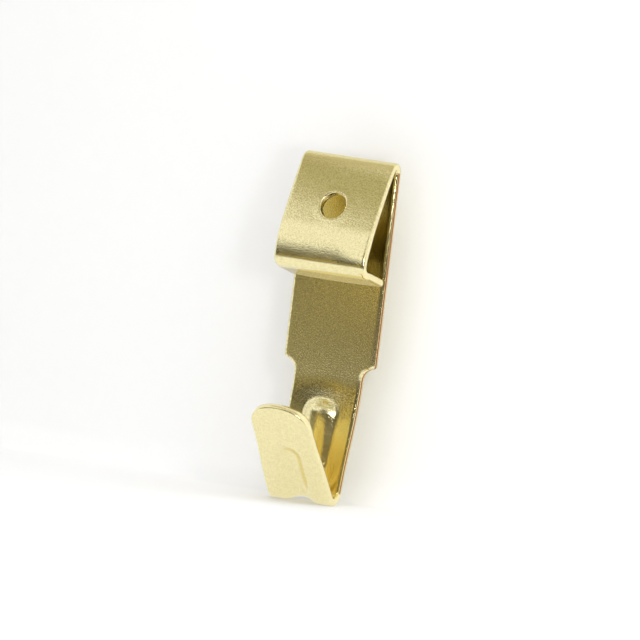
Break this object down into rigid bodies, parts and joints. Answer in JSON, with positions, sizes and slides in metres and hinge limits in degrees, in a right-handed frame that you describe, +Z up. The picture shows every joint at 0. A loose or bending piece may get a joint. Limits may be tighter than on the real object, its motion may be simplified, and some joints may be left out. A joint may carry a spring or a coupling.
{
  "type": "picture hook",
  "caption": "Picture hook folded from a plated strip: a flat back strap, a wedge-shaped nail loop at the top and a ribbed, round-tipped hook at the bottom.",
  "frame": {"origin": "the middle of the nail's exit hole, on the strap's back face, which is the wall plane", "axes": "+Y square into the wall, +Z up along the strap, +X to the right for someone who faces the wall"},
  "size_m": [0.0098, 0.0102, 0.0323],
  "materials": {
    "brass_plate": "bright brass plating on steel, with a fine orange-peel grain"
  },
  "bodies": {
    "root": {"hook_body": "brass_plate"}
  },
  "joints": []
}
